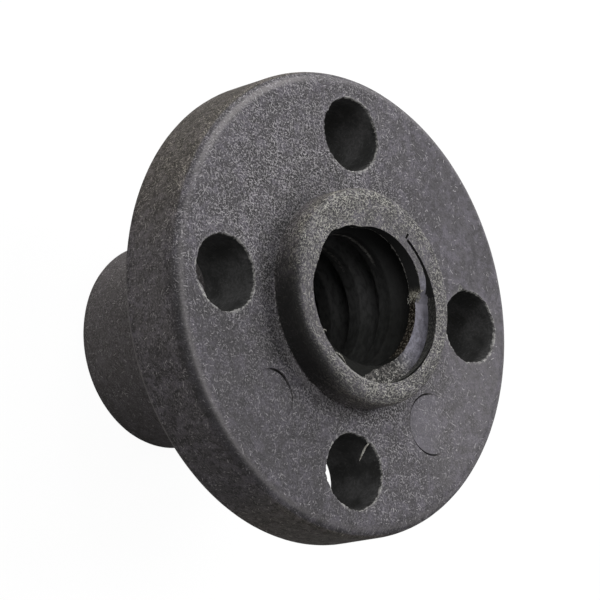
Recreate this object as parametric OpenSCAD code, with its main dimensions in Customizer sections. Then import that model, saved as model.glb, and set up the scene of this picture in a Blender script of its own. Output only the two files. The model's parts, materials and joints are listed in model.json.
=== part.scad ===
// Flanged nut for a trapezoidal lead screw, moulded in one piece of fibre-filled plastic.
// The screw's axis is Z. The nut stands on the end of its hub at Z = 0, and the boss faces up.

/* [Flange] */
// Diameter of the flange
flange_diameter = 22; // [21.8:0.1:40]
// Thickness of the flange
flange_thickness = 3.5; // [2:0.1:10]
// Rounding of the flange's front rim
flange_front_round = 0.8; // [0.2:0.05:1]
// Rounding of the flange's back rim
flange_back_round = 0.3; // [0.1:0.05:0.6]

/* [Hub] */
// Diameter of the long hub behind the flange
hub_diameter = 10.2; // [9.6:0.1:11.4]
// Length of the hub behind the flange
hub_length = 10; // [4:0.5:40]
// Rounding of the hub's free edge
hub_end_round = 0.3; // [0.1:0.05:0.5]

/* [Boss] */
// Diameter of the short boss in front of the flange
boss_diameter = 10.2; // [9.6:0.1:11.4]
// Height of the boss above the flange
boss_height = 1.5; // [1.5:0.1:6]
// Rounding of the boss's free edge
boss_end_round = 0.5; // [0.1:0.05:0.55]

/* [Bolt holes] */
// Number of bolt holes round the flange
bolt_hole_count = 4; // [2:1:6]
// Diameter of the circle through the bolt holes' centres
bolt_circle_diameter = 16; // [15.8:0.1:17]
// Diameter of each bolt hole
bolt_hole_diameter = 3.5; // [2:0.1:3.6]
// Rounding of each bolt hole's edge at the back
bolt_hole_back_round = 0.3; // [0.05:0.05:0.4]

/* [Lead screw thread] */
// Nominal diameter of the screw that runs in the nut
screw_diameter = 8; // [7.4:0.1:8.2]
// Distance between neighbouring turns
thread_pitch = 2; // [1.6:0.1:3]
// Number of starts
thread_starts = 1; // [1:1:4]
// Angle between the thread's two flanks
thread_angle = 30; // [4:1:34]
// How far the nut's crest is cut back from the basic profile
crest_relief = 0.2; // [0.05:0.01:0.3]
// Gap between the screw's crest and the bottom of the nut's groove
root_clearance = 0.1; // [0.04:0.01:0.25]
// Angle from +X at which the groove's middle meets the boss's face
thread_exit_angle = 282; // [0:1:359]

/* [Torn thread ends] */
// Angle from the groove's exit, against the screw's hand, to where the crack along its bottom begins
crack_start_lead = 130; // [110:1:150]
// Angle from the groove's exit to where the strip beside the crack begins to sink
sink_start_lead = 113; // [106:1:120]
// Angle from the groove's exit to where the first turn is torn out to its full depth
tear_start_lead = 84; // [74:1:98]
// Width of the crack
crack_width = 0.2; // [0.1:0.01:0.3]
// How much nearer to the axis the crack lies where it begins
crack_drift = 0.2; // [0:0.01:0.3]
// Depth of the crack below the boss's face where it begins
crack_start_depth = 0.14; // [0.1:0.01:0.3]
// Depth of the sinking strip below the boss's face where it begins
sink_start_depth = 0.05; // [0.03:0.01:0.1]
// Depth of the torn surface below the boss's face, next to the groove's bottom
tear_depth = 0.5; // [0.35:0.01:0.7]
// How much deeper the torn surface lies at the crest
tear_fall = 0.08; // [0:0.01:0.2]
// Angle past the groove's exit, with the screw's hand, over which the crest's thin end is chipped right off
chip_full_run = 107; // [90:1:130]
// Angle past the groove's exit at which the chipped edge has come in to the crest
chip_end_run = 177; // [150:1:200]

/* [Ejector marks] */
// Diameter of each ejector mark on the flange's front
ejector_mark_diameter = 3; // [1.5:0.1:3.2]
// Depth of each ejector mark
ejector_mark_depth = 0.05; // [0.03:0.01:0.2]

/* [Hidden] */
$fn = 96;

// How far each cutter reaches past the face that it cuts
overcut = 0.5;
// Flat steps in one turn of the thread and of its torn ends
thread_steps = 36;

flange_radius = flange_diameter / 2;
hub_radius = hub_diameter / 2;
boss_radius = boss_diameter / 2;
bolt_hole_radius = bolt_hole_diameter / 2;
flange_back_z = hub_length;
flange_front_z = flange_back_z + flange_thickness;
boss_top_z = flange_front_z + boss_height;

// The nut's crest lies on the crest radius and its groove ends at the root radius
thread_lead = thread_pitch * thread_starts;
flank_slope = tan(thread_angle / 2);
pitch_radius = screw_diameter / 2 - thread_pitch / 4;
crest_radius = screw_diameter / 2 - thread_pitch / 2 + crest_relief;
root_radius = screw_diameter / 2 + root_clearance;

// The broken edges stay a little inside the groove's bottom, and the cuts that meet run into each other
break_radius = root_radius - 0.1;
cut_overlap_angle = 1;
step_angle = 360 / thread_steps;

// The ejector marks lie halfway between the lower bolt holes, a little inside their circle
ejector_mark_angles = [-135, -45];
ejector_mark_circle = bolt_circle_diameter / 2 - 0.7;

// Half the groove's width, along the axis, at a radius
function groove_half(radius) = thread_pitch / 4 + (pitch_radius - radius) * flank_slope;

// A section of [radius, height] points, turned to an angle and lifted
function placed_ring(section, angle, lift) =
    [for (p = section) [p[0] * cos(angle), p[0] * sin(angle), p[1] + lift]];

// Closed solid through a list of rings that all have as many points
module swept_solid(rings) {
    sides = len(rings[0]);
    last = (len(rings) - 1) * sides;
    walls = [
        for (i = [0 : len(rings) - 2], k = [0 : sides - 1])
            let (a = i * sides + k, b = i * sides + (k + 1) % sides)
            each [[a, b, b + sides], [a, b + sides, a + sides]]
    ];
    first_cap = [for (k = [sides - 1 : -1 : 0]) k];
    last_cap = [for (k = [0 : sides - 1]) last + k];
    polyhedron([for (ring = rings) each ring], concat(walls, [first_cap, last_cap]));
}

// What a rounding takes off a corner that points to +X and +Y
module corner_waste(round) {
    difference() {
        square(round + overcut);
        circle(r = round);
    }
}

// Half section of the solid body, before the thread and the holes are cut
module body_section() {
    difference() {
        union() {
            square([hub_radius, flange_back_z + flange_thickness / 2]);
            translate([0, flange_back_z]) square([flange_radius, flange_thickness]);
            translate([0, flange_front_z - flange_thickness / 2])
                square([boss_radius, boss_height + flange_thickness / 2]);
        }
        translate([hub_radius - hub_end_round, hub_end_round])
            rotate(-90) corner_waste(hub_end_round);
        translate([flange_radius - flange_back_round, flange_back_z + flange_back_round])
            rotate(-90) corner_waste(flange_back_round);
        translate([flange_radius - flange_front_round, flange_front_z - flange_front_round])
            corner_waste(flange_front_round);
        translate([boss_radius - boss_end_round, boss_top_z - boss_end_round])
            corner_waste(boss_end_round);
    }
}

// The groove of one start, swept along its helix past both ends of the nut
module thread_groove() {
    inner = crest_radius - overcut;
    margin = groove_half(inner) + overcut / 2;
    last_step = ceil((boss_top_z + 2 * margin) / thread_lead * thread_steps);
    exit_turn = (boss_top_z + margin) / thread_lead;
    section = [
        [inner, -groove_half(inner)],
        [root_radius, -groove_half(root_radius)],
        [root_radius, groove_half(root_radius)],
        [inner, groove_half(inner)]
    ];
    rotate(thread_exit_angle - 360 * exit_turn)
        swept_solid([
            for (i = [0 : last_step])
                let (turn = i / thread_steps)
                placed_ring(section, 360 * turn, turn * thread_lead - margin)
        ]);
}

// Angle at which one flank of the groove reaches a depth below the boss's face, at a radius.
// The side is 1 for the lower flank and -1 for the upper one.
function flank_angle(side, radius, depth) =
    thread_exit_angle + 360 * (side * groove_half(radius) - depth) / thread_lead;

// Height of the groove's middle on its last turn, at an angle
function groove_middle(angle) = boss_top_z + thread_lead * (angle - thread_exit_angle) / 360;

// Stations after one station up to the next, in equal steps of at most one thread step
function stations_after(from, to) =
    let (steps = ceil((to[0] - from[0]) / step_angle))
    [for (i = [1 : steps]) from + (to - from) * i / steps];

// A cut down into the boss's face. Each station holds an angle, the cut's inner and outer radius there,
// and its floor's height at each of the two.
module face_cut(stations) {
    above = boss_top_z + overcut;
    cuts = [
        stations[0],
        for (i = [1 : len(stations) - 1]) each stations_after(stations[i - 1], stations[i])
    ];
    swept_solid([
        for (cut = cuts)
            placed_ring([
                [cut[1], cut[3]],
                [cut[2], cut[4]],
                [cut[2], above],
                [cut[1], above]
            ], cut[0], 0)
    ]);
}

// The crack along the bottom of the groove's first turn, the strip beside it that sinks, and the stretch
// after it, where the thin start of the crest is torn out down to the groove's own flank
module torn_thread_start() {
    inner = crest_radius - overcut;
    crack_start_angle = thread_exit_angle + crack_start_lead;
    sink_start_angle = thread_exit_angle + sink_start_lead;
    tear_start_angle = thread_exit_angle + tear_start_lead;
    tear_end_angle = flank_angle(1, root_radius, tear_depth) - step_angle;
    overlap_angle = tear_start_angle - cut_overlap_angle;
    sink_share = (sink_start_lead - tear_start_lead) / (crack_start_lead - tear_start_lead);
    crack_start_radius = break_radius - crack_drift;
    sink_start_radius = break_radius - crack_drift * sink_share - crack_width / 2;
    crack_floor = boss_top_z - crack_start_depth;
    sink_floor = boss_top_z - sink_start_depth;
    tear_floor = boss_top_z - tear_depth;
    lip_floor = tear_floor - tear_fall;
    face_cut([
        [overlap_angle, break_radius - crack_width, break_radius, tear_floor, tear_floor],
        [crack_start_angle, crack_start_radius - crack_width, crack_start_radius,
            crack_floor, crack_floor]
    ]);
    face_cut([
        [overlap_angle, inner, break_radius - crack_width / 2, lip_floor, tear_floor],
        [sink_start_angle, inner, sink_start_radius, sink_floor, sink_floor]
    ]);
    face_cut([
        [tear_end_angle, inner, break_radius, lip_floor, tear_floor],
        [tear_start_angle, inner, break_radius, lip_floor, tear_floor]
    ]);
}

// The thin end of the crest above the groove's last turn, chipped off and then back to the crest
module chipped_thread_end() {
    inner = crest_radius - overcut;
    crest_reach = crest_radius - 0.05;
    open_angle = flank_angle(-1, root_radius, 0) + step_angle;
    full_angle = thread_exit_angle - chip_full_run;
    end_angle = thread_exit_angle - chip_end_run;
    face_cut([
        for (edge = [[end_angle, crest_reach], [full_angle, break_radius], [open_angle, break_radius]])
            let (floor_z = groove_middle(edge[0]))
            [edge[0], inner, edge[1], floor_z, floor_z]
    ]);
}

// One bolt hole, rounded where it comes out at the back
module bolt_hole() {
    rotate_extrude() {
        translate([0, flange_back_z - overcut])
            square([bolt_hole_radius, flange_thickness + 2 * overcut]);
        difference() {
            translate([0, flange_back_z - overcut])
                square([bolt_hole_radius + bolt_hole_back_round, bolt_hole_back_round + overcut]);
            translate([bolt_hole_radius + bolt_hole_back_round, flange_back_z + bolt_hole_back_round])
                circle(r = bolt_hole_back_round);
        }
    }
}

module lead_screw_nut() {
    color([0.25, 0.245, 0.26])
    difference() {
        rotate_extrude() body_section();
        translate([0, 0, -overcut]) cylinder(r = crest_radius, h = boss_top_z + 2 * overcut);
        for (start = [0 : thread_starts - 1])
            rotate(360 * start / thread_starts) thread_groove();
        torn_thread_start();
        chipped_thread_end();
        for (i = [0 : bolt_hole_count - 1])
            rotate(360 * i / bolt_hole_count)
                translate([bolt_circle_diameter / 2, 0, 0]) bolt_hole();
        for (angle = ejector_mark_angles)
            rotate(angle)
                translate([ejector_mark_circle, 0, flange_front_z - ejector_mark_depth])
                    cylinder(d = ejector_mark_diameter, h = ejector_mark_depth + overcut / 2);
    }
}

lead_screw_nut();
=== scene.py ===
"""Looks for the flanged lead screw nut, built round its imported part.

Everything is worked out in millimetres in the part's own frame and scaled to metres at the end.
Angles are in degrees from +X, anticlockwise seen from the boss, unless a name says "lead": those run
clockwise from +Y. The camera sees +X to the right and +Y upwards.
"""

import json
import math
import random

import bmesh
import bpy
from mathutils import Matrix, Vector, noise


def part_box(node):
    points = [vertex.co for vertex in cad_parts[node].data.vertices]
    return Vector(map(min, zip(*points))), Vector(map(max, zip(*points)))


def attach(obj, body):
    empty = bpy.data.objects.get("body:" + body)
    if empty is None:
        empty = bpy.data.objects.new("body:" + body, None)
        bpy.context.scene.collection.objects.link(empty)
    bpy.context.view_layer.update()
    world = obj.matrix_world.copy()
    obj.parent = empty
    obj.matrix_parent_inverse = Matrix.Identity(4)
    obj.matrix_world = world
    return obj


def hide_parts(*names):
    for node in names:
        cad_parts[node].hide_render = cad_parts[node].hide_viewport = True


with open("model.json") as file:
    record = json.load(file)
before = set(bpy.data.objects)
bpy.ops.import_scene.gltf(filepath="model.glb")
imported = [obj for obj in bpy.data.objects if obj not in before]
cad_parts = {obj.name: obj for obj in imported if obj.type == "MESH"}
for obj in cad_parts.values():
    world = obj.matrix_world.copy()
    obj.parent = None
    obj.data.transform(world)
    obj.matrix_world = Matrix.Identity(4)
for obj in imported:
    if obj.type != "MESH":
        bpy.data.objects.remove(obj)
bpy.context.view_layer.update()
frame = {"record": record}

# ---- sizes

MM = 0.001
NODE = "lead_screw_nut"
MOUNTS = {mount["name"]: mount for mount in frame["record"]["mounts"]}


def mount_height(name):
    return MOUNTS[name]["pos_m"][2] / MM


def mount_size(name, key):
    return MOUNTS[name]["dims"][key]


LOW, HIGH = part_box(NODE)
TOP = HIGH.z / MM
FLANGE_R = (HIGH.x - LOW.x) / 2 / MM
# Heights of the flange's two faces.
BACK = mount_height("flange_back")
FRONT = mount_height("flange_bolts")
FRONT_ROUND = 0.8
BACK_ROUND = 0.3
HUB_R = mount_size("hub", "r_mm")
HUB_ROUND = BACK - mount_size("hub", "length_mm")
BOSS_R = mount_size("boss", "r_mm")
BOSS_ROUND = TOP - FRONT - mount_size("boss", "length_mm")
FILLET = 0.12

BOLT_R = mount_size("flange_bolts", "hole_r_mm")
BOLT_CIRCLE_R = mount_size("flange_bolts", "pcd_mm") / 2
BOLT_COUNT = mount_size("flange_bolts", "count")
BOLT_BACK_ROUND = 0.3

LEAD = 2.0
CREST_R = mount_size("screw_thread", "r_mm")
ROOT_R = CREST_R + 0.9
PITCH_R = CREST_R + 0.3
FLANK_SLOPE = math.tan(math.radians(15))
GROOVE_EXIT = -78.0
CORNER_EASE = 0.045
CORNER_STEP = 0.03
BURR_WIDTH = 0.09

TORN_DEPTH = 0.5
SINK_START = 54.0
TORN_START = 78.0
TORN_END = 203.0
CRACK_START = 35.5
HOOK_START = 32.7
HOOK_END = 34.5
CHIP_START = 225.0
CHIP_END = 349.0
OVER = 0.4

NICKED_HOLE, NICK_ANGLE = 0, 108
LUMPY_HOLE, LUMP_ANGLE = 2, 214
WIDE_HOLE, WIDE_ANGLE = 3, 188
BURR_HOLE_ANGLE = -90

EJECTOR_CIRCLE = BOLT_CIRCLE_R - 0.7
RIGHT_MARK_ANGLE, RIGHT_MARK_R = -45, 1.5
LEFT_MARK_ANGLE, LEFT_MARK_R = -135, 1.23
MARK_LINE = 0.09


# ---- small helpers


def clamp(value, low=0.0, high=1.0):
    return max(low, min(high, value))


def ease(value, start, end):
    """0 before start, 1 after end, with a smooth run between them."""
    share = clamp((value - start) / (end - start))
    return share * share * (3 - 2 * share)


def bump_at(value, middle, width):
    """1 at the middle, falling to 0 over the width."""
    return math.exp(-(((value - middle) / width) ** 2))


def rough(x, y=0.0, z=0.0, seed=0.0):
    """Smooth seeded noise between about -1 and 1."""
    return noise.noise(Vector((x + 17.3 * seed, y - 9.1 * seed, z + 4.7 * seed)))


def ring_rough(angle, radius, height, scale, seed):
    """Noise that closes on itself round the axis."""
    x, y, z = at(radius, angle, height)
    return rough(x * scale, y * scale, z * scale, seed)


def cosine(angle):
    return math.cos(math.radians(angle))


def at(radius, angle, height):
    return (radius * cosine(angle), radius * math.sin(math.radians(angle)), height)


def beside(centre, radius, angle, height):
    """A point round an upright axis through the centre."""
    return tuple(centre + Vector(at(radius, angle, height)))


def toward(angle, direction, start=0.5, end=0.95):
    """1 where an angle points nearly along a direction, 0 well away from it."""
    return ease(cosine(angle - direction), start, end)


def spaced(start, end, step):
    count = max(1, math.ceil(abs(end - start) / step - 1e-6))
    return [start + (end - start) * i / count for i in range(count + 1)]


def placed(name, data):
    """A new object in the scene that shows the data."""
    thing = bpy.data.objects.new(name, data)
    bpy.context.collection.objects.link(thing)
    return thing


def mesh_object(name, points, faces, material):
    mesh = bpy.data.meshes.new(name)
    mesh.from_pydata(points, [], faces)
    mesh.materials.append(material)
    return placed(name, mesh)


def band_faces(count, size, closed=False):
    """Quads between neighbouring rings of points, and from the last to the first where closed."""
    faces = []
    for i in range(count if closed else count - 1):
        after = (i + 1) % count
        for j in range(size):
            k = (j + 1) % size
            faces.append((i * size + j, after * size + j, after * size + k, i * size + k))
    return faces


def tidy_mesh(thing, distance):
    """Welds doubled points and turns every face outwards."""
    work = bmesh.new()
    work.from_mesh(thing.data)
    bmesh.ops.remove_doubles(work, verts=work.verts, dist=distance)
    bmesh.ops.dissolve_degenerate(work, dist=distance / 2, edges=work.edges)
    bmesh.ops.recalc_face_normals(work, faces=work.faces)
    work.to_mesh(thing.data)
    work.free()
    thing.data.update()


# ---- thread


def groove_middle(angle):
    return TOP + LEAD * (angle - GROOVE_EXIT) / 360


def groove_half(radius):
    return LEAD / 4 + (PITCH_R - radius) * FLANK_SLOPE


def thread_profile():
    """Distance from the groove's middle, and radius, as far as the crest's middle, with eased corners."""
    root, crest = groove_half(ROOT_R), groove_half(CREST_R)
    fall = CORNER_EASE / FLANK_SLOPE
    return [
        (0.0, ROOT_R),
        (root - CORNER_EASE, ROOT_R),
        (root, ROOT_R - CORNER_STEP),
        (root + CORNER_EASE, ROOT_R - fall),
        (crest - CORNER_EASE, CREST_R + fall),
        (crest, CREST_R + CORNER_STEP),
        (crest + CORNER_EASE, CREST_R),
        (crest + CORNER_EASE + BURR_WIDTH, CREST_R),
        (LEAD / 2, CREST_R),
    ]


PROFILE = thread_profile()


def groove_distance(height, angle):
    """How far up or down a point lies from the nearest turn's middle."""
    return abs((height - groove_middle(angle) + LEAD / 2) % LEAD - LEAD / 2)


def bore_radius(height, angle):
    off = groove_distance(height, angle)
    for (off_a, r_a), (off_b, r_b) in zip(PROFILE, PROFILE[1:]):
        if off <= off_b:
            return r_a + (r_b - r_a) * (off - off_a) / (off_b - off_a)
    return CREST_R


# ---- body of the nut


def arc(centre_r, centre_z, radius, start, end, steps):
    turns = [math.radians(a) for a in spaced(start, end, abs(end - start) / steps)]
    return [(centre_r + radius * math.cos(a), centre_z + radius * math.sin(a)) for a in turns]


def outer_profile():
    """Radius and height from the boss's face outwards, down the outside and in to the hub's end."""
    line = arc(BOSS_R - BOSS_ROUND, TOP - BOSS_ROUND, BOSS_ROUND, 90, 0, 9)
    line += [(BOSS_R, z) for z in spaced(TOP - BOSS_ROUND, FRONT + FILLET, 0.3)[1:-1]]
    line += arc(BOSS_R + FILLET, FRONT + FILLET, FILLET, 180, 270, 4)
    inner, outer = BOSS_R + FILLET, FLANGE_R - FRONT_ROUND
    line += [(r, FRONT) for r in spaced(inner, outer, 0.42)[1:-1]]
    line += arc(outer, FRONT - FRONT_ROUND, FRONT_ROUND, 90, 0, 15)
    low, high = BACK + BACK_ROUND, FRONT - FRONT_ROUND
    line += [(FLANGE_R, z) for z in spaced(high, low, 0.4)[1:-1]]
    line += arc(FLANGE_R - BACK_ROUND, low, BACK_ROUND, 0, -90, 6)
    inner, outer = HUB_R + FILLET, FLANGE_R - BACK_ROUND
    line += [(r, BACK) for r in spaced(outer, inner, 0.6)[1:-1]]
    line += arc(inner, BACK - FILLET, FILLET, 90, 180, 4)
    line += [(HUB_R, z) for z in spaced(BACK - FILLET, HUB_ROUND, 0.7)[1:-1]]
    line += arc(HUB_R - HUB_ROUND, HUB_ROUND, HUB_ROUND, 0, -90, 6)
    return line


def uneven(radius, height, angle):
    """Moulded surfaces aren't quite true: a slight inward waver, nil where the part stands."""
    if height < 0.01:
        return radius, height
    waver = 0.5 + 0.5 * ring_rough(angle, radius, height, 0.45, 3)
    fine = 0.5 + 0.5 * ring_rough(angle, radius, height, 2.2, 5)
    shift = 0.016 * waver + 0.008 * fine
    return radius - shift, height - 0.4 * shift


def crest_burr(radius, off, height, angle):
    """Ragged flash left along the crest's two corners, most of all on the first turns."""
    crest = groove_half(CREST_R)
    edge = bump_at(abs(off), crest, 0.05)
    first = 0.3 + 0.7 * ease(height, TOP - 7, TOP - 1)
    ragged = ring_rough(angle, CREST_R, height, 5.0, 7) + 0.6 * ring_rough(angle, CREST_R, height, 13.0, 8)
    return radius - 0.035 * edge * first * ragged


def bore_rows():
    """Every row of the bore as a distance from the groove's middle on its last turn."""
    offs = [-off for off, _ in reversed(PROFILE[1:-1])] + [off for off, _ in PROFILE]
    turns = math.ceil(TOP / LEAD) + 1
    return [(LEAD * turn, off) for turn in range(-turns, 1) for off in offs]


def body_columns():
    """Angles round the nut, closer together beside the torn start of the thread."""
    seam, fine_end = 90.0 - TORN_END - 2, 90.0 - CRACK_START + 5
    return spaced(seam, fine_end, 0.8) + spaced(fine_end, seam + 360, 1.5)[1:]


def across(start, end, angle, height, steps=4):
    """The points between two radii on a level face."""
    return [at(start + (end - start) * i / steps, angle, height) for i in range(1, steps)]


def column_points(angle, rows, outline):
    """The nut's section at an angle: up the bore, out over the boss, down the outside and back in."""
    points = []
    for turn, off in rows:
        height = clamp(groove_middle(angle) + turn + off, 0, TOP)
        radius = bore_radius(height, angle)
        if 0.05 < height < TOP - 0.05:
            radius = crest_burr(radius, off, height, angle)
        points.append(at(radius, angle, height))
    points += across(bore_radius(TOP, angle), outline[0][0], angle, TOP)
    for radius, height in outline:
        radius, height = uneven(radius, height, angle)
        points.append(at(radius, angle, height))
    return points + across(outline[-1][0], bore_radius(0, angle), angle, 0)


def nut_body(material, bore_material):
    rows, outline = bore_rows(), outer_profile()
    columns = [column_points(angle, rows, outline) for angle in body_columns()]
    size = len(columns[0])
    points = [point for column in columns for point in column]
    body = mesh_object("nut", points, band_faces(len(columns), size), material)
    body.data.materials.append(bore_material)
    for i, face in enumerate(body.data.polygons):
        if i % size < len(rows) - 1:
            face.material_index = 1
    tidy_mesh(body, 0.0008)
    return body


# ---- cutters


def ring_solid(name, rings, material, closed=False):
    """Closed solid through rings of points: capped at both ends, or joined end to start."""
    size, count = len(rings[0]), len(rings)
    points = [point for ring in rings for point in ring]
    faces = band_faces(count, size, closed)
    if not closed:
        faces.append(tuple(range(size)))
        faces.append(tuple(reversed(range((count - 1) * size, count * size))))
    solid = mesh_object(name, points, faces, material)
    work = bmesh.new()
    work.from_mesh(solid.data)
    bmesh.ops.triangulate(work, faces=work.faces)
    bmesh.ops.recalc_face_normals(work, faces=work.faces)
    work.to_mesh(solid.data)
    work.free()
    return solid


def round_cutter(name, rings, material):
    """A closed ring solid, welded where its rings meet on the axis."""
    cutter = ring_solid(name, rings, material, closed=True)
    tidy_mesh(cutter, 0.0005)
    return cutter


def sector_section(lead, shape, floor_steps, wall_steps):
    """Radius and height round a sector cutter: its floor, its ragged outer wall and its top."""
    inner, outer, floor = shape(lead)
    section = [(r, floor(r)) for r in spaced(inner, outer, (outer - inner) / floor_steps)]
    base = floor(outer)
    for z in spaced(base, TOP + OVER, (TOP + OVER - base) / wall_steps)[1:]:
        ragged = 0.016 * rough(lead * 0.35, z * 9, 0, 21) + 0.008 * rough(lead * 1.4, z * 20, 0, 22)
        section.append((outer + ragged, z))
    section.append((inner, TOP + OVER))
    return section


def sector_cutter(name, start, end, step, shape, material, floor_steps, wall_steps, end_ragged):
    """A block over the boss's face from one lead angle to another, ragged at both ends.

    shape(lead) gives the inner radius, the outer radius and a function of radius for the floor's height.
    """
    rings = []
    for lead in spaced(start, end, step):
        near = bump_at(lead, start, 2.5) - bump_at(lead, end, 2.5)
        ring = []
        for radius, height in sector_section(lead, shape, floor_steps, wall_steps):
            shove = end_ragged * near * (
                rough(radius * 3.2, height * 3.2, 0, 31) + 0.6 * rough(radius * 9, height * 9, 0, 32)
            )
            ring.append(at(radius, 90 - lead - shove, height))
        rings.append(ring)
    return ring_solid(name, rings, material)


def torn_edge(lead):
    """Radius of the crack and of the torn stretch's outer wall."""
    return CREST_R + 0.53 + 0.35 * ease(lead, 40, 115)


def sunk_depth(lead):
    """How deep the strip and then the torn surface lie next to the outer wall."""
    return TORN_DEPTH * clamp((lead - SINK_START + 1.5) / 33.5) ** 1.7


def tear_shape(lead):
    """The strip that sinks beside the crack, then the stretch that is torn out to a nearly level floor."""
    strip_outer = torn_edge(lead) - 0.04 * (1 - ease(lead, 76, 82))

    def floor(radius):
        inward = (ROOT_R - radius) / (ROOT_R - CREST_R)
        ragged_start = TORN_START + 3.0 * rough(radius * 4, 0, 0, 44) + 1.5 * rough(radius * 13, 0, 0, 45)
        half = 1.8 + 9 * (1 - clamp(inward))
        broken = ease(lead, ragged_start - half, ragged_start + half)
        strip = sunk_depth(lead) * (1 - 0.5 * inward)
        torn = sunk_depth(lead) + 0.07 * inward
        depth = strip + (torn - strip) * broken
        ripple = 0.02 * rough(lead * 0.12, radius * 2.5, 0, 41)
        grain = 0.012 * rough(lead * 0.8, radius * 11, 0, 42)
        lip = 0.05 * bump_at(radius, CREST_R, 0.12) * rough(lead * 0.7, radius * 3, 0, 43)
        return min(TOP - 0.004, TOP - depth + (ripple + grain + lip) * (0.3 + 0.7 * broken))

    return CREST_R - OVER, strip_outer, floor


def crack_shape(lead):
    """The crack along the bottom of the groove's first turn: narrow and shallow where it begins."""
    outer = torn_edge(lead) + 0.012 * rough(lead * 0.25, 0, 0, 51)
    width = 0.16 + 0.06 * ease(lead, 68, 86) + 0.02 * rough(lead * 0.4, 0, 0, 52)
    depth = max(0.22, sunk_depth(lead) + 0.12 * (1 - ease(lead, 70, 82)))
    return outer - width, outer, lambda radius: TOP - depth + 0.01 * rough(lead * 0.5, radius * 8, 0, 53)


def hook_shape(lead):
    """The short stroke across the crack's beginning."""
    slant = lead - 33
    return CREST_R + 0.44 + 0.02 * slant, CREST_R + 0.75 + 0.01 * slant, lambda radius: TOP - 0.15


def chip_shape(lead):
    """The thin end of the crest, chipped back to the groove's flank."""
    outer = ROOT_R - 0.02 - 0.24 * ease(lead, 266, 290) - 0.3 * ease(lead, 308, 325)
    outer -= 0.37 * ease(lead, 322, CHIP_END)
    outer += 0.022 * rough(lead * 0.16, 0, 0, 61) + 0.012 * rough(lead * 0.6, 0, 0, 62)
    return CREST_R - OVER, outer, lambda radius: groove_middle(90 - lead)


def hole_centre(index):
    return Vector(at(BOLT_CIRCLE_R, 360.0 / BOLT_COUNT * index, 0))


def bolt_hole_profile():
    """Radius and height forwards from behind the flange: rounded there, a little wider in front."""
    back = BACK + BOLT_BACK_ROUND
    line = [(BOLT_R + BOLT_BACK_ROUND, BACK - OVER)]
    line += arc(BOLT_R + BOLT_BACK_ROUND, back, BOLT_BACK_ROUND, 270, 180, 5)
    line += [(BOLT_R, z) for z in spaced(back, FRONT - 0.12, 0.5)[1:]]
    line += [(BOLT_R + 0.01, FRONT - 0.06), (BOLT_R + 0.035, FRONT - 0.02)]
    line += [(BOLT_R + 0.05, FRONT + 0.01), (BOLT_R + 0.05, FRONT + OVER)]
    return line


def worn_hole(index, radius, angle, height):
    """The radius of a bolt hole's wall with its ragged front edge, nick, lump or wider side."""
    front = ease(height, FRONT - 0.5, FRONT)
    ragged = ring_rough(angle, BOLT_R, height, 1.6, 70 + index)
    ragged += 0.7 * ring_rough(angle, BOLT_R, height, 5.0, 80 + index)
    teeth = 0.035 * ring_rough(angle, BOLT_R, 0, 11.0, 85) + 0.04 * ring_rough(angle, BOLT_R, 0, 23.0, 86)
    radius += (0.006 + 0.05 * front) * ragged + teeth * front
    if index == WIDE_HOLE:
        radius += 0.08 * front * bump_at(angle, WIDE_ANGLE, 32)
    if index == LUMPY_HOLE:
        radius -= 0.15 * bump_at(angle, LUMP_ANGLE, 10) * ease(height, FRONT - 0.3, FRONT)
    if index == NICKED_HOLE:
        radius += 0.3 * bump_at(angle, NICK_ANGLE, 5) * ease(height, FRONT - 0.14, FRONT)
    return radius


def bolt_hole_cutter(index, material):
    centre, line = hole_centre(index), bolt_hole_profile()
    rings = []
    for angle in spaced(0, 360, 2)[:-1]:
        ring = [beside(centre, 0, 0, BACK - OVER)]
        for radius, height in line:
            ring.append(beside(centre, worn_hole(index, radius, angle, height), angle, height))
        ring.append(beside(centre, 0, 0, FRONT + OVER))
        rings.append(ring)
    return round_cutter("bolt_hole_%d" % index, rings, material)


def ejector_cutter(name, direction, reach, deep_side, line_from, tilt, material):
    """A faint round mark that is deeper towards one side by its tilt, with a fine line along that edge.

    The line reaches as far round as the cosine line_from, so -1 would be all round.
    """
    centre = Vector(at(EJECTOR_CIRCLE, direction, 0))
    rings = []
    for angle in spaced(0, 360, 4)[:-1]:
        side = cosine(angle - deep_side)
        wobble = 0.012 * ring_rough(angle, reach, 0, 1.2, 90 + direction)
        ring = []
        for radius in (0.0, 0.5, 0.9, reach - 0.1, reach - 0.07, reach - 0.025, reach):
            depth = 0.03 + tilt * side * radius / reach
            if reach - MARK_LINE < radius < reach:
                depth += 0.09 * clamp(2.5 * (side - line_from))
            ring.append(beside(centre, radius + wobble * radius / reach, angle, FRONT - depth))
        ring.append(beside(centre, reach + wobble, angle, FRONT + OVER))
        ring.append(beside(centre, 0, 0, FRONT + OVER))
        rings.append(ring)
    return round_cutter(name, rings, material)


def cut_away(body, cutters):
    """Takes each cutter out of the body, then deletes it."""
    for cutter in cutters:
        change = body.modifiers.new("cut", "BOOLEAN")
        change.operation = "DIFFERENCE"
        change.object = cutter
        change.solver = "MANIFOLD"
        change.material_mode = "TRANSFER"
        bpy.context.view_layer.update()
        done = bpy.data.meshes.new_from_object(body.evaluated_get(bpy.context.evaluated_depsgraph_get()))
        body.modifiers.clear()
        old = body.data
        body.data = done
        bpy.data.meshes.remove(old)
        bpy.data.objects.remove(cutter)
    body.data.name = "nut"


# ---- marks for the material


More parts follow.
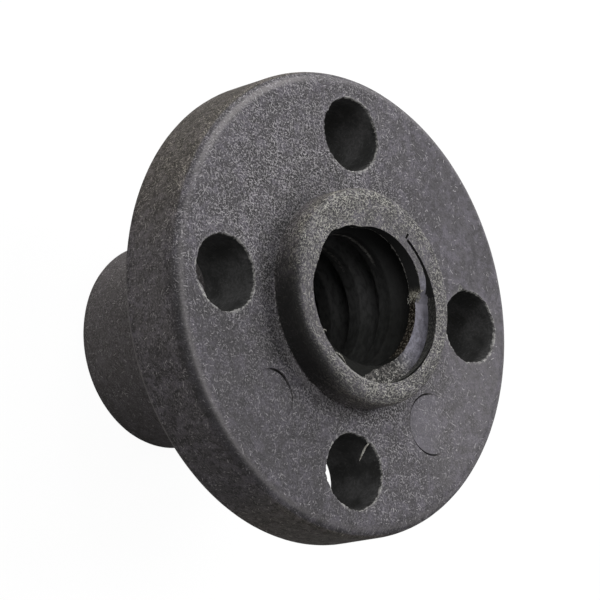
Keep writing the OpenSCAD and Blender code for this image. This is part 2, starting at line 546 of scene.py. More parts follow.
def fleck_and_glint_amount(radius, angle, z):
    """How many pale fibres show, partly as painted glints of the fibres: most round the boss and up to the
    upper left, few on the right.
    """
    if radius < BOSS_R + 0.05 and z > FRONT + 0.3:
        smooth = toward(angle, 68, 0.5, 0.95) * (1 - ease(radius, 4.1, 4.6))
        calm = 0.28 * toward(angle, 218, 0.4, 0.95)
        return 0.85 + 0.15 * cosine(2 * (angle - 100)) - 0.5 * smooth - calm
    if z < FRONT - 0.6:
        return 0.27 + 0.15 * cosine(angle - 130)
    side = 0.54 + 0.22 * cosine(angle - 150) + 0.2 * cosine(2 * (angle - 125))
    right = 0.14 * toward(angle, 40, 0.4, 0.95) + 0.17 * toward(angle, -20, 0.6, 0.95)
    side -= right * ease(radius, BOSS_R + 0.6, 8)
    near = 1 - 0.4 * ease(radius, BOSS_R + 0.6, FLANGE_R)
    round_boss = 0.6 * (1 - ease(radius, BOSS_R + 0.3, BOSS_R + 1.4)) * (1 - side)
    return clamp(near * side + round_boss, 0.08, 1.0)


def round_tilt(radius, z):
    """How far round the flange's front edge a point lies: 0 on the face, 90 on the rim, None elsewhere."""
    out, up = radius - FLANGE_R + FRONT_ROUND, z - FRONT + FRONT_ROUND
    return math.degrees(math.atan2(out, up)) if out > 0 and up > 0 else None


def pale_and_painted_light_amount(radius, angle, z):
    """Paler, smoother plastic: a painted highlight along the flange's front edge, painted light on the face
    towards the lower right, and fainter pale touches elsewhere, such as a line along the back edge.
    """
    out, down = radius - FLANGE_R + BACK_ROUND, BACK + BACK_ROUND - z
    if out > 0 and down > 0:
        turn = math.degrees(math.atan2(down, out))
        return toward(angle, 212, 0.68, 0.93) * ease(turn, 8, 25) * (1 - ease(turn, 45, 62))
    if z < BACK:
        return 0.13 * toward(angle, 165, 0.4, 0.95)
    if z > FRONT + 0.1:
        return 0.3 * toward(angle, 275, 0.7, 0.97) * ease(radius, BOSS_R - 0.4, BOSS_R - 0.12)
    tilt = round_tilt(radius, z)
    if tilt is None and radius > FLANGE_R - 0.3:
        return 0.14 * toward(angle, 183, 0.94, 0.99)
    if tilt is None:
        foot = bump_at(radius, BOSS_R + 0.08, 0.04) if FRONT - 0.1 < z < FRONT + 0.06 else 0.0
        # A pale line at the boss's foot at the lower left, and painted light on the face towards the lower
        # right.
        return 0.7 * foot * toward(angle, 235, 0.7) + 0.15 * toward(angle, -25, 0.75, 0.97)
    # Painted highlight: a paler band along the flange's front edge, strongest at the upper left, with a
    # narrow highlight line in it at the lower left.
    left = 0.28 + 0.5 * toward(angle, 130, 0.85, 0.99) + 0.2 * toward(angle, 203, 0.85, 0.99)
    line = 0.3 * toward(angle, 218, 0.7, 0.95) * bump_at(tilt, 33, 6)
    return left * ease(tilt, 11, 26) * (1 - ease(tilt, 35, 46)) + line


def painted_shade_amount(radius, angle, z):
    """Painted shade, mostly at the lower left: darker plastic on the boss's wall, on the face round the
    boss's foot and beyond, and on the flange's edge.
    """
    if z > FRONT + 0.1:
        inner = BOSS_R - 0.4 - 0.3 * toward(angle, 238, 0.8, 0.97)
        return toward(angle, 208, 0.58, 0.97) * ease(radius, inner, BOSS_R - 0.12)
    tilt = round_tilt(radius, z)
    if tilt is not None:
        return 0.6 * toward(angle, 210, 0.8, 0.97) * ease(tilt, 27, 38) * (1 - ease(tilt, 62, 84))
    if z > FRONT - 0.1:
        # Painted shade round the boss's foot on the left, and over the face at the lower left.
        round_foot = 1 - ease(radius, BOSS_R + 0.3, BOSS_R + 1.7)
        shade = (0.16 * toward(angle, 180, -0.4, 0.3) + 0.26 * toward(angle, 160, 0.2, 0.9)) * round_foot
        return shade + 0.3 * toward(angle, 225) * ease(radius, BOSS_R, BOSS_R + 2)
    return 0.0


def warm_amount(radius, angle, z):
    """Where the rim is browner: its upper left, and a scuffed stretch underneath."""
    if radius < FLANGE_R - 0.3 or z > FRONT - 0.35:
        return 0.0
    return toward(angle, 132, 0.7) + toward(angle, -96, 0.9, 0.99)


def flash_and_highlight_amount(radius, angle, z):
    """Pale lines on the crests, partly ragged flash and partly painted highlight: on the first crest's
    edges, then fading along the middle of the next crests on the upper side.
    """
    if radius > CREST_R + 0.12:
        return 0.0
    off = groove_distance(z, angle)
    if z > TOP - 1.15:
        return toward(angle, 72, 0.35, 0.75) * (abs(off - groove_half(CREST_R)) < 0.06)
    return 0.7 * toward(angle, 90, 0.45, 0.85) * (off > LEAD / 2 - 0.03) * ease(z, TOP - 8, TOP - 5)


def edge_amount(radius, angle, z):
    """The pale ridge of flash on the mouth's own edge at the lower left, and fainter at the left."""
    if z < TOP - 0.01 or radius > bore_radius(TOP, angle) + 0.05:
        return 0.0
    return toward(angle, -112, 0.93, 0.985) + 0.5 * toward(angle, 165, 0.6, 1.0)


def pressed_amount(x, y):
    """The smoother lavender part of the right ejector mark."""
    middle_x, middle_y, _ = at(EJECTOR_CIRCLE, RIGHT_MARK_ANGLE, 0)
    far = math.hypot(x - middle_x, y - middle_y)
    return 0.9 * (1 - ease(x - middle_x, -0.6, 1.2)) if far < RIGHT_MARK_R - 0.05 else 0.0


def point_marks(x, y, z):
    """Every mark's name and its strength at a point."""
    radius, angle = math.hypot(x, y), math.degrees(math.atan2(y, x))
    lead = (90 - angle) % 360
    near_mouth = radius < ROOT_R + 0.03 and TOP - 1.3 < z < TOP - 0.02
    clump = lip = 0.0
    if near_mouth and radius < CREST_R + 0.1:
        lip = ease(lead, 80, 85) * (1 - ease(lead, 132, 145))
        if radius < CREST_R + 0.03:
            clump = bump_at(lead, 79.5, 3.6) * ease(z, TOP - 1.25, TOP - 1.0)
    return {
        "clump": clump,
        "lip": lip,
        "mottled": ease(lead, 122, 152) if near_mouth else 0.0,
        "whole": 1 - ease(lead, 58, 70),
        # Painted light on the torn floor just past the step, where the step shades it.
        "pale": bump_at(lead, 86, 8),
        "pressed": pressed_amount(x, y),
        "fleck": fleck_and_glint_amount(radius, angle, z),
        "flash": flash_and_highlight_amount(radius, angle, z),
        "worn": pale_and_painted_light_amount(radius, angle, z),
        "grime": painted_shade_amount(radius, angle, z),
        "warm": warm_amount(radius, angle, z),
        "edge": edge_amount(radius, angle, z),
    }


def write_marks(thing):
    mesh = thing.data
    marks = [point_marks(*vertex.co) for vertex in mesh.vertices]
    for name in marks[0]:
        layer = mesh.attributes.new(name, "FLOAT", "POINT")
        layer.data.foreach_set("value", [mark[name] for mark in marks])


def wall_axis(middle):
    """The axis that a wall runs round: its bolt hole's, or else the screw's."""
    if BACK - 0.1 < middle.z < FRONT + 0.1:
        for i in range(BOLT_COUNT):
            hole = hole_centre(i)
            if math.hypot(middle.x - hole.x, middle.y - hole.y) < BOLT_R + BOLT_BACK_ROUND + 0.1:
                return hole
    return Vector((0, 0, 0))


def write_surface_map(thing):
    """Lays every face flat in millimetres: level faces as they lie, walls unrolled round their axis."""
    mesh = thing.data
    layer = mesh.uv_layers.new(name="surface_mm")
    flat = [0.0] * (2 * len(mesh.loops))
    for face in mesh.polygons:
        middle = face.center
        axis = wall_axis(middle)
        radius = math.hypot(middle.x - axis.x, middle.y - axis.y)
        base = math.atan2(middle.y - axis.y, middle.x - axis.x)
        for loop in face.loop_indices:
            point = mesh.vertices[mesh.loops[loop].vertex_index].co
            if abs(face.normal.z) > 0.7:
                u, v = point.x, point.y
            else:
                turn = math.atan2(point.y - axis.y, point.x - axis.x) - base
                turn = (turn + math.pi) % (2 * math.pi) - math.pi
                u, v = (base + turn) * max(radius, 1.5) + 40, point.z
            flat[2 * loop], flat[2 * loop + 1] = u, v
    layer.data.foreach_set("uv", flat)


# ---- loose strands


def smooth_line(points):
    """A curve through all the points, five steps from each to the next."""
    line = []
    for i in range(len(points) - 1):
        a, b = points[i], points[i + 1]
        before, after = points[max(0, i - 1)], points[min(len(points) - 1, i + 2)]
        for t in spaced(0, 1, 0.2)[:-1]:
            line.append(0.5 * (
                2 * a + (b - before) * t + (2 * before - 5 * a + 4 * b - after) * t * t
                + (3 * a - before - 3 * b + after) * t ** 3
            ))
    return line + [points[-1]]


def strand(name, path, radius, seed, material, sides=7):
    """A thin uneven strand through the path's points, a third as thick at its far end."""
    luck = random.Random(seed)
    line = smooth_line([Vector(point) for point in path])
    last = len(line) - 1
    rings = []
    for i, here in enumerate(line):
        ahead = (line[min(i + 1, last)] - line[max(i - 1, 0)]).normalized()
        side = ahead.orthogonal().normalized()
        up = ahead.cross(side)
        thick = radius * (1 - 0.65 * (i / last)) * luck.uniform(0.8, 1.2)
        if i in (0, last):
            thick *= 0.45
        rings.append([
            tuple(here + (side * math.cos(a) + up * 0.7 * math.sin(a)) * thick * luck.uniform(0.85, 1.15))
            for a in (2 * math.pi * k / sides for k in range(sides))
        ])
    return ring_solid(name, rings, material)


def join(name, things):
    """One object out of several."""
    work = bmesh.new()
    for thing in things:
        work.from_mesh(thing.data)
    joined = things[0]
    work.to_mesh(joined.data)
    work.free()
    joined.name = name
    joined.data.name = name
    for thing in things[1:]:
        bpy.data.objects.remove(thing)
    return joined


def mouth_strand(name, spots, radius, seed, material):
    """A strand through radius, angle and depth below the boss's face."""
    return strand(name, [at(r, angle, TOP - depth) for r, angle, depth in spots], radius, seed, material)


def mouth_burr(material):
    """The curl of flash at the lower edge of the bore's mouth, with a low ridge and a tip beside it."""
    return join("mouth_burr", [
        mouth_strand("curl", (
            (4.16, -131.5, 0.07), (4.03, -130, 0.06), (3.94, -127, 0.06),
            (3.92, -123, 0.08), (3.96, -119.5, 0.12), (4.08, -118, 0.16),
        ), 0.045, 5, material),
        mouth_strand("ridge", (
            (4.14, -122, 0.06), (4.1, -117, 0.05), (4.12, -111, 0.06), (4.1, -105, 0.05), (4.13, -99, 0.08),
        ), 0.045, 6, material),
        mouth_strand("tip", (
            (4.14, -148.5, 0.08), (3.92, -147, 0.07), (3.84, -145.5, 0.1),
        ), 0.05, 7, material),
    ])


def hole_burr(material):
    """The strand of flash that hangs in the lowest bolt hole."""
    centre = Vector(at(BOLT_CIRCLE_R, BURR_HOLE_ANGLE, 0))
    return strand("hole_burr", [
        beside(centre, radius, angle, FRONT - depth) for radius, angle, depth in (
            (1.76, 54, 0.12), (1.5, 57, 0.1), (1.2, 56, 0.13), (0.95, 53, 0.18), (0.8, 46, 0.27),
        )
    ], 0.07, 9, material)


def frayed_fibres(material):
    """Pulled fibres on the ragged step where the torn stretch begins."""
    luck = random.Random(31)
    things = []
    for i in range(44):
        lead = luck.uniform(76, 84.5)
        height = TOP - luck.uniform(0.1, 1.0)
        radius = CREST_R + luck.uniform(-0.02, 0.12)
        turn = luck.uniform(-1, 1)
        length = luck.uniform(0.12, 0.32)
        start = Vector(at(radius + 0.05, 90 - lead, height))
        along = Vector(at(1, -lead, 0))
        lift = Vector((0, 0, luck.uniform(-0.6, 0.4)))
        middle = start + (along * turn * 0.5 + lift) * length * 0.5 + Vector(at(-0.05, 90 - lead, 0))
        end = start + (along * turn + lift) * length + Vector(at(luck.uniform(-0.14, 0.0), 90 - lead, 0))
        if max(middle.z, end.z) <= TOP - 0.04:
            things.append(strand("fibre", [start, middle, end], luck.uniform(0.02, 0.038), i, material, 5))
    return join("frayed_fibres", things)


# ---- materials


class Graph:
    """Short names for wiring shader nodes."""

    def __init__(self, tree):
        self.tree = tree

    def node(self, kind, **settings):
        made = self.tree.nodes.new(kind)
        for key, value in settings.items():
            setattr(made, key, value)
        return made

    def wire(self, value, socket):
        if isinstance(value, bpy.types.NodeSocket):
            self.tree.links.new(value, socket)
        elif value is not None:
            socket.default_value = value

    def wire_all(self, node, values):
        for name, value in values.items():
            self.wire(value, node.inputs[name])

    def fed(self, node, *values):
        """A node's first output, with the values wired in by the order of its sockets."""
        for value, socket in zip(values, node.inputs):
            self.wire(value, socket)
        return node.outputs[0]

    def math(self, operation, a, b=None, c=None, cut=False):
        return self.fed(self.node("ShaderNodeMath", operation=operation, use_clamp=cut), a, b, c)

    def times(self, a, b, cut=False):
        return self.math("MULTIPLY", a, b, cut=cut)

    def times_plus(self, a, b, c):
        return self.math("MULTIPLY_ADD", a, b, c)

    def apart(self, place):
        """The x, y and z of a place."""
        made = self.node("ShaderNodeSeparateXYZ")
        self.wire(place, made.inputs[0])
        return made.outputs

    def vector(self, operation, a, b=None):
        return self.fed(self.node("ShaderNodeVectorMath", operation=operation), a, b)

    def span(self, value, low, high, out_low=0.0, out_high=1.0):
        """A smooth step from low to high, or back down where out_low is the larger."""
        made = self.node("ShaderNodeMapRange", interpolation_type="SMOOTHSTEP")
        return self.fed(made, value, low, high, out_low, out_high)

    def mix(self, share, a, b):
        made = self.node("ShaderNodeMix", data_type="RGBA")
        for value, index in ((share, 0), (a, 6), (b, 7)):
            self.wire(value, made.inputs[index])
        return made.outputs[2]

    def noise(self, place, scale, detail=2.0, roughness=0.5):
        made = self.node("ShaderNodeTexNoise")
        self.wire_all(made, {"Vector": place, "Scale": scale, "Detail": detail, "Roughness": roughness})
        return made.outputs["Fac"]

    def mark(self, name):
        return self.node("ShaderNodeAttribute", attribute_name=name).outputs["Fac"]


def grey(value, red=1.0, green=1.0, blue=1.0):
    return (value * red, value * green, value * blue, 1.0)


def fibre_group():
    """One layer of short straight fibres, each in a cell of its own and turned at random."""
    tree = bpy.data.node_groups.new("fibre_layer", "ShaderNodeTree")
    for name in ("Place", "Shift"):
        tree.interface.new_socket(name, in_out="INPUT", socket_type="NodeSocketVector")
    for name in ("Scale", "Half length", "Half width", "Amount"):
        tree.interface.new_socket(name, in_out="INPUT", socket_type="NodeSocketFloat")
    tree.interface.new_socket("Fibre", in_out="OUTPUT", socket_type="NodeSocketFloat")
    g = Graph(tree)
    given = g.node("NodeGroupInput").outputs
    place = g.vector("ADD", given["Place"], given["Shift"])
    cells = g.node("ShaderNodeTexVoronoi", voronoi_dimensions="2D", feature="F1")
    g.wire_all(cells, {"Vector": place, "Scale": given["Scale"]})
    luck = g.node("ShaderNodeSeparateColor")
    g.wire(cells.outputs["Color"], luck.inputs[0])
    local = g.vector("SUBTRACT", place, cells.outputs["Position"])
    turned = g.node("ShaderNodeVectorRotate", rotation_type="Z_AXIS")
    g.wire_all(turned, {"Vector": local, "Angle": g.times(luck.outputs[0], math.pi)})
    x, y, _ = g.apart(turned.outputs[0])
    along = g.math("DIVIDE", g.math("ABSOLUTE", x), given["Half length"])
    aside = g.math("DIVIDE", g.math("ABSOLUTE", y), given["Half width"])
    fibre = g.times(g.span(along, 0.6, 1.0, 1.0, 0.0), g.span(aside, 0.25, 1.0, 1.0, 0.0))
    shown = g.math("LESS_THAN", luck.outputs[1], given["Amount"])
    bright = g.times_plus(luck.outputs[2], 0.7, 0.3)
    g.wire(g.times(fibre, g.times(shown, bright)), g.node("NodeGroupOutput").inputs["Fibre"])
    return tree


def fibres(g, amount):
    """Four layers of fibres over each other, from few long ones to many short ones."""
    group = bpy.data.node_groups.get("fibre_layer") or fibre_group()
    total = 0.0
    for i, (scale, half_length, half_width) in enumerate((
        (2.4, 0.17, 0.026), (3.3, 0.13, 0.026), (4.4, 0.1, 0.025), (6.0, 0.06, 0.025),
    )):
        layer = g.node("ShaderNodeGroup", node_tree=group)
        g.wire_all(layer, {
            "Place": g.flat, "Shift": (13.7 * i, 5.9 * i, 0), "Scale": scale,
            "Half length": half_length, "Half width": half_width, "Amount": amount,
        })
        total = g.math("MAXIMUM", total, layer.outputs[0])
    return total


def new_material(name):
    """A material's graph, with the point in the nut and on its flattened surface in millimetres."""
    material = bpy.data.materials.new(name)
    material.use_nodes = True
    g = Graph(material.node_tree)
    g.material = material
    g.place = g.vector("MULTIPLY", g.node("ShaderNodeTexCoord").outputs["Object"], (1 / MM, 1 / MM, 1 / MM))
    g.flat = g.node("ShaderNodeUVMap", uv_map="surface_mm").outputs["UV"]
    return g


def finished(g, tone, roughness, relief, depth_mm, shine=0.12):
    """Wires colour, roughness and relief into the material's shader."""
    bump = g.node("ShaderNodeBump")
    g.wire_all(bump, {"Strength": 0.6, "Distance": depth_mm * MM, "Height": relief})
    g.wire_all(g.tree.nodes["Principled BSDF"], {
        "Base Color": tone, "Roughness": roughness, "Specular IOR Level": shine, "Normal": bump.outputs[0],
    })
    return g.material


def hole_distance(g):
    """Distance in millimetres from the nearest bolt hole's axis."""
    x, y, _ = g.apart(g.vector("ABSOLUTE", g.place))
    reaches = []
    for along, aside in ((x, y), (y, x)):
        far = g.math("SUBTRACT", along, BOLT_CIRCLE_R)
        reaches.append(g.math("SQRT", g.times_plus(far, far, g.times(aside, aside))))
    return g.math("MINIMUM", *reaches)


def wall_share(g):
    """1 on upright walls, 0 on level faces."""
    up = g.apart(g.node("ShaderNodeNewGeometry").outputs["True Normal"])[2]
    return g.span(g.math("ABSOLUTE", up), 0.35, 0.75, 1.0, 0.0)


def round_axis(g):
    """Radius, distance along the circle and height: stretches noise round the screw's axis."""
    x, y, z = g.apart(g.place)
    reach = g.math("SQRT", g.times_plus(x, x, g.times(y, y)))
    return g.fed(g.node("ShaderNodeCombineXYZ"), reach, g.times(g.math("ARCTAN2", y, x), 1.7), z)


def speckled(g, tone, amount, ring, upright):
    """Dark pores, pale spots and short pale fibres, drawn out along the circle on the boss; the pale spots
    and fibres are partly painted glints.
    """
    fine = g.noise(g.flat, 10.5, 2.0, 0.8)
    arcs = g.noise(round_axis(g), 14.0, 2.0, 0.85)
    drifts = g.noise(g.flat, 1.3, 3.0, 0.6)
    amount = g.times(amount, g.span(drifts, 0.3, 0.65, 0.5, 1.35))
    even = g.times(amount, g.times_plus(ring, -0.35, 1.0))
    along = g.times(g.times(amount, ring), 0.8)
    dots = g.times(g.span(fine, 0.4, 0.48, 1.0, 0.0), even)
    dashes = g.times(g.span(arcs, 0.38, 0.46, 0.9, 0.0), along)
    tone = g.mix(g.times(g.math("MAXIMUM", dots, dashes, cut=True), 0.95), tone, grey(0.013))
    dots, dashes = g.times(g.span(fine, 0.55, 0.62), even), g.times(g.span(arcs, 0.54, 0.62), along)
    spots = g.math("MAXIMUM", dots, dashes, cut=True)
    lines = fibres(g, g.times(even, g.times_plus(upright, -0.32, 0.6)))
    pale = g.math("MAXIMUM", g.times(spots, 0.85), g.times(lines, 0.85), cut=True)
    pale_tone = g.mix(ring, grey(0.48, 1.0, 0.96, 0.99), grey(0.54, 1.02, 1.0, 0.9))
    return g.mix(pale, tone, pale_tone), lines, fine


def grey_plastic(g, amount):
    """The moulding's colour: cloudy grey with a touch of purple, flecked with pale fibres that are partly
    painted glints, with painted highlight and painted shade laid over it.
    """
    cloud = g.noise(g.place, 0.4, 3.0)
    mottle = g.noise(g.place, 1.6, 4.0, 0.6)
    grain = g.noise(g.place, 11.0, 3.0, 0.7)
    blotch = g.noise(g.place, 3.6, 2.0, 0.6)
    upright = wall_share(g)
    tone = g.mix(amount, grey(0.122, 1.0, 0.94, 1.03), grey(0.078, 1.0, 0.945))
    tone = g.mix(g.span(cloud, 0.32, 0.62, 0.4, 0.0), tone, grey(0.062, 1.0, 0.945, 1.01))
    tone = g.mix(g.span(mottle, 0.4, 0.66, 0.0, 0.65), tone, grey(0.18, 1.0, 0.93, 1.09))
    dark = g.times(g.span(blotch, 0.36, 0.54, 1.0, 0.0), g.times_plus(upright, 0.3, 0.42))
    tone = g.mix(dark, tone, grey(0.045, 1.0, 0.96))
    tone = g.mix(g.span(grain, 0.36, 0.55, 0.3, 0.0), tone, grey(0.05, 1.0, 0.96))
    # Paler plastic: painted highlight on the flange's front edge, painted light on the face towards the
    # lower right, and pale lines.
    tone = g.mix(g.times(g.mark("worn"), 0.7, cut=True), tone, grey(0.31, 1.0, 0.95, 0.95))
    height = g.apart(g.place)[2]
    ring = g.span(height, TOP - 1.2, TOP - 0.5)
    hub = g.span(height, BACK - 0.1, BACK + 0.1, 0.34, 0.0)
    tone = g.mix(hub, tone, grey(0.19, 1.0, 0.95, 0.95))
    tone, lines, fine = speckled(g, tone, amount, ring, upright)
    tone = g.mix(g.times(upright, 0.5), tone, g.vector("MULTIPLY", tone, (1.05, 1.0, 0.91)))
    warmer = g.vector("MULTIPLY", tone, (1.2, 1.17, 0.97))
    tone = g.mix(g.times(g.mark("warm"), 0.7), tone, warmer)
    # Painted shade: darker at the lower left, round the boss and on the flange's edge.
    tone = g.mix(g.times(g.mark("grime"), 0.93), tone, grey(0.02, 1.02, 1.0, 0.98))
    return tone, lines, fine, mottle, grain


def moulded_plastic():
    """Dark grey moulded plastic filled with fine pale fibres."""
    g = new_material("moulded_plastic")
    # Fewer flecks where the paler mark lies; that mark is partly painted highlight and painted light.
    worn = g.math("SUBTRACT", 1.0, g.mark("worn"), cut=True)
    amount = g.times(g.mark("fleck"), g.times_plus(worn, 0.6, 0.4))
    tone, lines, fine, mottle, grain = grey_plastic(g, amount)
    patch = g.noise(g.place, 5.0, 3.0, 0.75)
    edge = g.times_plus(g.noise(g.place, 9.0, 2.0, 0.8), 0.34, hole_distance(g))
    rim = g.times(g.span(edge, 1.84, 1.91), g.span(edge, 1.97, 2.06, 1.0, 0.0))
    rim = g.times(rim, g.span(patch, 0.42, 0.56, 0.05, 0.95))
    rim = g.times(rim, g.span(g.noise(g.place, 0.9, 2.0), 0.42, 0.58, 0.2, 1.0))
    ridge = g.times(g.mark("edge"), g.span(grain, 0.38, 0.56, 0.15, 1.0))
    tone = g.mix(g.math("MAXIMUM", rim, ridge), tone, grey(0.4, 1.0, 0.98, 0.95))
    fleck_relief = g.times(g.math("ADD", lines, fine), amount)
    relief = g.math("ADD", fleck_relief, g.times_plus(mottle, 0.6, grain))
    return finished(g, tone, g.span(mottle, 0.3, 0.7, 0.6, 0.76), relief, 0.035)


def cream_fluff(g, grain):
    """Torn fibres: cream on brown."""
    return g.mix(g.span(grain, 0.42, 0.56), grey(0.05, 1.2, 1.0, 0.75), grey(0.6, 1.05, 1.0, 0.84))


def bore_plastic():
    """The thread: nearly black, with painted shade darkening it near the mouth on the lower side, painted
    light paling the upper side deeper down, pale lines on its crests that are partly flash and partly
    painted highlight, and a brown lip.
    """
    g = new_material("bore_plastic")
    grain = g.noise(g.place, 10.0, 3.0, 0.75)
    lines = g.noise(round_axis(g), 5.0, 3.0, 0.6)
    _, y, height = g.apart(g.place)
    above = g.span(y, -1.0, 1.8)
    mouth = g.span(height, TOP - 3.0, TOP - 1.4)
    deep = g.mix(g.span(lines, 0.35, 0.65), grey(0.028, 1.0, 1.02, 0.98), grey(0.044, 1.0, 1.02, 0.98))
    # Painted shade: darker near the mouth on the lower side.
    tone = g.mix(mouth, deep, g.mix(above, grey(0.013, 1.0, 1.02, 0.95), grey(0.038)))
    # Painted light on the upper side, growing deeper down.
    painted_light_deep = g.times(g.span(height, TOP - 4.5, TOP - 1.5, 1.0, 0.0), g.span(lines, 0.3, 0.6, 0.5, 1.0))
    tone = g.mix(g.times(painted_light_deep, above), tone, grey(0.12))
    brown = g.mix(g.span(grain, 0.5, 0.62), grey(0.012, 1.2, 1.0, 0.8), grey(0.19, 1.12, 1.0, 0.82))
    tone = g.mix(g.mark("lip"), tone, brown)
    # Pale lines on the crests: partly ragged flash, partly painted highlight.
    ragged = g.span(g.noise(g.place, 5.5, 4.0, 0.8), 0.43, 0.56)
    flash = g.times(g.span(g.mark("flash"), 0.3, 0.7), ragged)
    tone = g.mix(g.times(flash, 0.9), tone, grey(0.4, 1.03, 1.0, 0.94))
    tone = g.mix(g.mark("clump"), tone, cream_fluff(g, grain))
    relief = g.math("ADD", grain, lines)
    return finished(g, tone, g.span(lines, 0.3, 0.7, 0.6, 0.8), relief, 0.03, shine=0.03)


def torn_plastic():
    """The broken surface: like the face at first, then smooth lavender grey, then dark and mottled, with
    painted light just past the step and painted shade on its walls.
    """
    g = new_material("torn_plastic")
    streak = g.noise(round_axis(g), 4.0, 4.0, 0.65)
    grain = g.noise(g.place, 10.0, 3.0, 0.75)
    smooth = g.mix(g.span(streak, 0.32, 0.68), grey(0.1, 0.98, 0.95, 1.14), grey(0.21, 0.98, 0.95, 1.14))
    smooth = g.mix(g.span(grain, 0.38, 0.5, 0.45, 0.0), smooth, grey(0.045))
    pale = g.mix(g.span(streak, 0.42, 0.6), grey(0.09, 1.08, 1.0, 0.94), grey(0.34, 1.03, 1.0, 0.93))
    mottled = g.mix(g.span(grain, 0.49, 0.57), grey(0.014, 1.05, 1.0, 0.95), pale)
    tone = g.mix(g.mark("mottled"), smooth, mottled)
    whole_tone = grey_plastic(g, g.mark("fleck"))[0]
    tone = g.mix(g.mark("whole"), tone, whole_tone)
    # Painted light on the floor just past the step, where the step would shade it.
    tone = g.mix(g.times(g.mark("pale"), 0.6), tone, grey(0.3, 0.99, 0.95, 1.1))
    # Painted shade: the torn stretch's walls darker than its floors.
    side = g.mix(g.span(grain, 0.46, 0.62), grey(0.03, 1.0, 1.02, 0.96), grey(0.1, 1.02, 1.0, 0.9))
    tone = g.mix(wall_share(g), tone, side)
    tone = g.mix(g.mark("clump"), tone, cream_fluff(g, grain))
    relief = g.math("ADD", streak, grain)
    return finished(g, tone, g.span(streak, 0.3, 0.7, 0.45, 0.65), relief, 0.035)


def hole_plastic():
    """Walls of the bolt holes: darker, drawn smooth by the mould's pins, with few flecks."""
    g = new_material("hole_plastic")
    mottle = g.noise(g.place, 0.9, 3.0, 0.5)
    grain = g.noise(g.place, 7.0, 3.0, 0.7)
    tone = g.mix(g.span(mottle, 0.36, 0.62), grey(0.045, 1.0, 1.01, 0.98), grey(0.1, 1.0, 0.99, 0.99))
    tone = g.mix(g.span(grain, 0.42, 0.6, 0.4, 0.0), tone, grey(0.03))
    tone = g.mix(g.times(fibres(g, 0.25), 0.3), tone, grey(0.2))
    height = g.times_plus(g.noise(g.place, 8.0, 2.0, 0.8), 0.3, g.apart(g.place)[2])
    front = g.span(height, FRONT + 0.03, FRONT + 0.1)
    front = g.times(front, g.span(g.noise(g.place, 5.0, 3.0, 0.75), 0.4, 0.56, 0.1, 0.95))
    tone = g.mix(front, tone, grey(0.42, 1.0, 0.98, 0.95))
    relief = g.math("ADD", grain, mottle)
    return finished(g, tone, g.span(mottle, 0.3, 0.7, 0.5, 0.7), relief, 0.04)


def ejector_plastic():
    """The ejector marks: like the face, more lavender where pressed, with a fine dark line of painted shade
    along the bottom of the groove.
    """
    g = new_material("ejector_plastic")
    pressed = g.mark("pressed")
    amount = g.times(g.mark("fleck"), g.times_plus(pressed, -0.4, 1.0))
    tone, _, _, mottle, grain = grey_plastic(g, amount)
    tone = g.mix(g.times(pressed, 0.3), tone, grey(0.2, 1.0, 0.95, 1.12))
    # Painted shade along the bottom of the mark's groove.
    line = g.span(g.apart(g.place)[2], FRONT - 0.11, FRONT - 0.075, 1.0, 0.0)
    tone = g.mix(line, tone, grey(0.022))
    relief = g.math("ADD", grain, mottle)
    return finished(g, tone, g.span(mottle, 0.3, 0.7, 0.55, 0.72), relief, 0.03)


def flash_plastic():
    """Thin pale flash and pulled fibres."""
    g = new_material("flash_plastic")
    patch = g.noise(g.place, 6.0, 3.0, 0.6)
    grain = g.noise(g.place, 22.0, 2.0, 0.6)
    tone = g.mix(g.span(patch, 0.35, 0.65), grey(0.25, 1.05, 1.0, 0.9), grey(0.5, 1.02, 1.0, 0.92))
    tone = g.mix(g.span(grain, 0.4, 0.6, 0.45, 0.0), tone, grey(0.07, 1.15, 1.0, 0.8))
    relief = g.math("ADD", grain, patch)
    return finished(g, tone, g.span(patch, 0.3, 0.7, 0.5, 0.7), relief, 0.015)


def floor_material():
    """Pale floor that the camera sees nearly white, with the nut's shadow kept."""
    material = bpy.data.materials.new("pale_floor")
    material.use_nodes = True
    g = Graph(material.node_tree)
    shader = g.tree.nodes["Principled BSDF"]
    g.wire_all(shader, {"Base Color": grey(0.32), "Roughness": 0.9, "Specular IOR Level": 0.1})
    glow = g.node("ShaderNodeEmission")
    g.wire_all(glow, {"Color": grey(1.0), "Strength": 1.2})
    seen = g.times(g.node("ShaderNodeLightPath").outputs["Is Camera Ray"], 0.8)
    both = g.fed(g.node("ShaderNodeMixShader"), seen, shader.outputs[0], glow.outputs[0])
    g.wire(both, g.tree.nodes["Material Output"].inputs["Surface"])
    return material


# ---- stage


FLOOR_HALF, FLOOR_SQUARES = 400.0, 8
LAMP_DISTANCE, LAMP_SIZE = 0.45, 0.3
LENS = 163.7
CAMERA_PLACE = (-87.45, -29.371, 99.5)
CAMERA_RIGHT = (0.71637, -0.00634, 0.69769)
CAMERA_AHEAD = (0.67952, 0.23324, -0.69559)


def pale_floor():
    line = spaced(-FLOOR_HALF, FLOOR_HALF, 2 * FLOOR_HALF / FLOOR_SQUARES)
    points = [(x, y, 0.0) for x in line for y in line]
    size = len(line)
    faces = [
        (i * size + j, (i + 1) * size + j, (i + 1) * size + j + 1, i * size + j + 1)
        for i in range(FLOOR_SQUARES) for j in range(FLOOR_SQUARES)
    ]
    floor = mesh_object("floor", points, faces, floor_material())
    floor.data.transform(Matrix.Scale(MM, 4))
    return floor


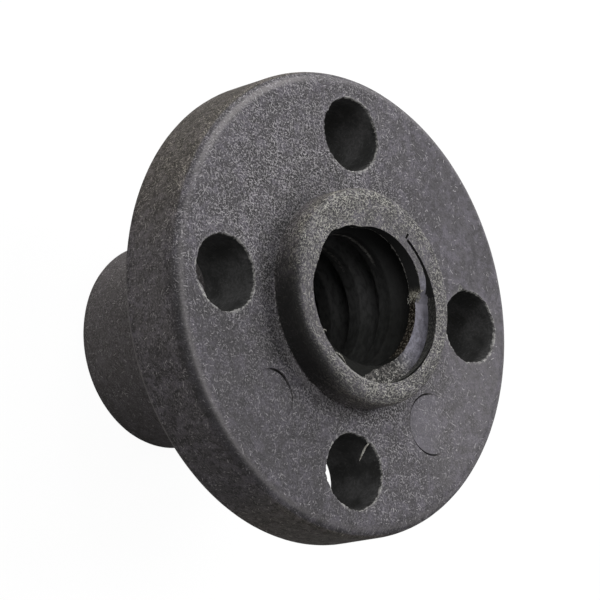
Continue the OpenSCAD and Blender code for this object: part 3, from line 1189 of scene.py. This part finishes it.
def soft_lamp(name, direction, power):
    """A round lamp out along a direction from the nut's middle, looking back at it."""
    data = bpy.data.lights.new(name, "AREA")
    data.shape = "DISK"
    data.size = LAMP_SIZE
    data.energy = power
    lamp = placed(name, data)
    out = Vector(direction).normalized()
    lamp.location = Vector((0, 0, TOP * MM / 2)) + out * LAMP_DISTANCE
    lamp.rotation_mode = "QUATERNION"
    lamp.rotation_quaternion = (-out).to_track_quat("-Z", "Y")


def soft_world(strength):
    """Even pale surroundings; the camera itself sees plain white."""
    world = bpy.data.worlds.new("surroundings")
    bpy.context.scene.world = world
    world.use_nodes = True
    g = Graph(world.node_tree)
    seen = g.math("MAXIMUM", g.node("ShaderNodeLightPath").outputs["Is Camera Ray"], strength)
    g.wire_all(world.node_tree.nodes["Background"], {"Color": grey(1.0), "Strength": seen})


def camera():
    """A long lens, turned so that the screw's axis points right and slightly up."""
    data = bpy.data.cameras.new("camera")
    data.lens = LENS
    data.sensor_width = 36.0
    data.clip_start = 0.01
    data.clip_end = 10.0
    thing = placed("camera", data)
    right, ahead = Vector(CAMERA_RIGHT).normalized(), Vector(CAMERA_AHEAD).normalized()
    turn = Matrix((right, right.cross(ahead), -ahead)).transposed().to_4x4()
    thing.matrix_world = Matrix.Translation(Vector(CAMERA_PLACE) * MM) @ turn
    bpy.context.scene.camera = thing


# ---- assembly


def dressed(thing, replaces=False):
    """Scales a piece to metres, shades it and ties it to the part."""
    thing.data.transform(Matrix.Scale(MM, 4))
    thing.data.shade_smooth()
    thing.data.set_sharp_from_angle(angle=math.radians(32))
    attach(thing, "root")
    if replaces:
        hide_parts(NODE)


def build_nut():
    moulded, torn = moulded_plastic(), torn_plastic()
    thread, walls, marks = bore_plastic(), hole_plastic(), ejector_plastic()
    nut = nut_body(moulded, thread)
    cutters = [bolt_hole_cutter(i, walls) for i in range(BOLT_COUNT)]
    cutters += [
        ejector_cutter("right_mark", RIGHT_MARK_ANGLE, RIGHT_MARK_R, 190, -0.4, 0.04, marks),
        ejector_cutter("left_mark", LEFT_MARK_ANGLE, LEFT_MARK_R, 62, 0.66, 0.026, marks),
        sector_cutter("tear", SINK_START, TORN_END, 0.7, tear_shape, torn, 14, 6, 0.8),
        sector_cutter("crack", CRACK_START, TORN_START + 4, 0.7, crack_shape, thread, 3, 5, 0.4),
        sector_cutter("hook", HOOK_START, HOOK_END, 0.6, hook_shape, thread, 3, 3, 0.2),
        sector_cutter("chip", CHIP_START, CHIP_END, 1.2, chip_shape, thread, 6, 6, 0.2),
    ]
    cut_away(nut, cutters)
    write_marks(nut)
    write_surface_map(nut)
    return nut


def build():
    nut = build_nut()
    pale = flash_plastic()
    loose = [mouth_burr(pale), hole_burr(pale), frayed_fibres(pale)]
    dressed(nut, replaces=True)
    for thing in loose:
        dressed(thing)
    pale_floor()
    soft_lamp("face_light", (0.6, 0.3, 0.75), 1.35)
    soft_lamp("side_light", (-0.6, 0.3, 0.7), 0.74)
    soft_lamp("edge_light", (0.2, 0.95, 0.25), 1.13)
    soft_world(0.18)
    camera()
    bpy.context.scene.view_settings.view_transform = "Standard"


build()
